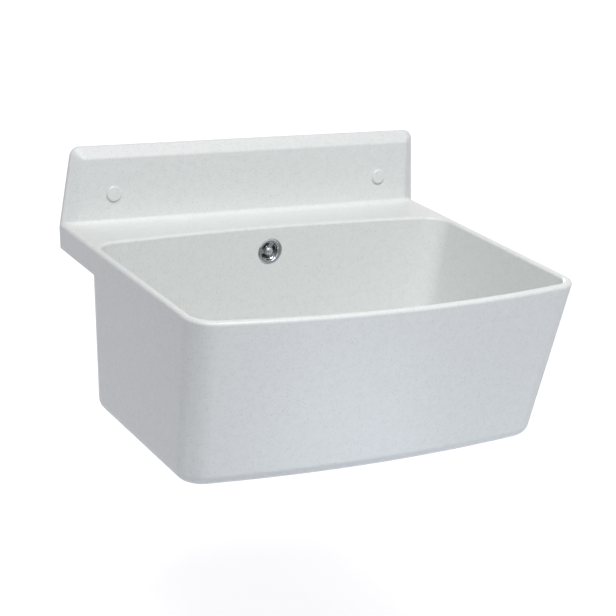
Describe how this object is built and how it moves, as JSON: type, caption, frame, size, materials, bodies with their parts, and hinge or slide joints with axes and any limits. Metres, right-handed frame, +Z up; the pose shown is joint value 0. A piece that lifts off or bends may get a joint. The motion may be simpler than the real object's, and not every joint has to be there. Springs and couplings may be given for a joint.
{
  "type": "wall-hung utility sink",
  "caption": "Wall-hung mop service sink: one-piece bowed basin with bevelled splashback, overflow with hose, strainer waste with plug, wall screws under cover caps.",
  "frame": {"origin": "on the wall plane, midway between the two wall screws", "axes": "+X along the wall to the right as seen by the user, +Y into the wall, +Z up"},
  "size_m": [0.55, 0.5, 0.4],
  "materials": {
    "granite": "satin moulded stone-filled polymer, pale grey-white with fine grey speckle",
    "granite_cap": "satin moulded polymer in the basin's colour",
    "white_plastic": "injection-moulded white polypropylene",
    "hose_plastic": "ribbed soft polypropylene",
    "chrome": "bright chrome plate",
    "stainless": "polished stainless steel",
    "zinc_steel": "zinc-plated steel",
    "brass": "turned brass",
    "black_rubber": "matt sealing rubber",
    "plug_rubber": "matt moulded rubber"
  },
  "bodies": {
    "sink": {"basin": "granite", "screw_cups": "white_plastic", "wall_screws": "zinc_steel", "overflow_rosette": "chrome", "rosette_seal": "black_rubber", "rosette_screw": "stainless", "elbow_seal": "black_rubber", "overflow_elbow": "white_plastic", "elbow_insert": "brass", "hose_nut_upper": "white_plastic", "hose_nut_lower": "white_plastic", "hose_seals": "black_rubber", "overflow_hose": "hose_plastic", "strainer": "stainless", "strainer_seal": "black_rubber", "strainer_screw": "stainless", "waste_seal": "black_rubber", "waste_body": "white_plastic", "waste_insert": "brass"},
    "cap_left": {"cover_cap_left": "granite_cap"},
    "cap_right": {"cover_cap_right": "granite_cap"},
    "plug": {"drain_plug": "plug_rubber"}
  },
  "joints": [
    {"name": "plug_lift", "type": "slide", "parent": "sink", "child": "plug", "axis": [0, 0, 1], "range_m": [0, 0.26]},
    {"name": "cap_left_pull", "type": "slide", "parent": "sink", "child": "cap_left", "axis": [0, -1, 0], "range_m": [0, 0.03]},
    {"name": "cap_right_pull", "type": "slide", "parent": "sink", "child": "cap_right", "axis": [0, -1, 0], "range_m": [0, 0.03]}
  ]
}
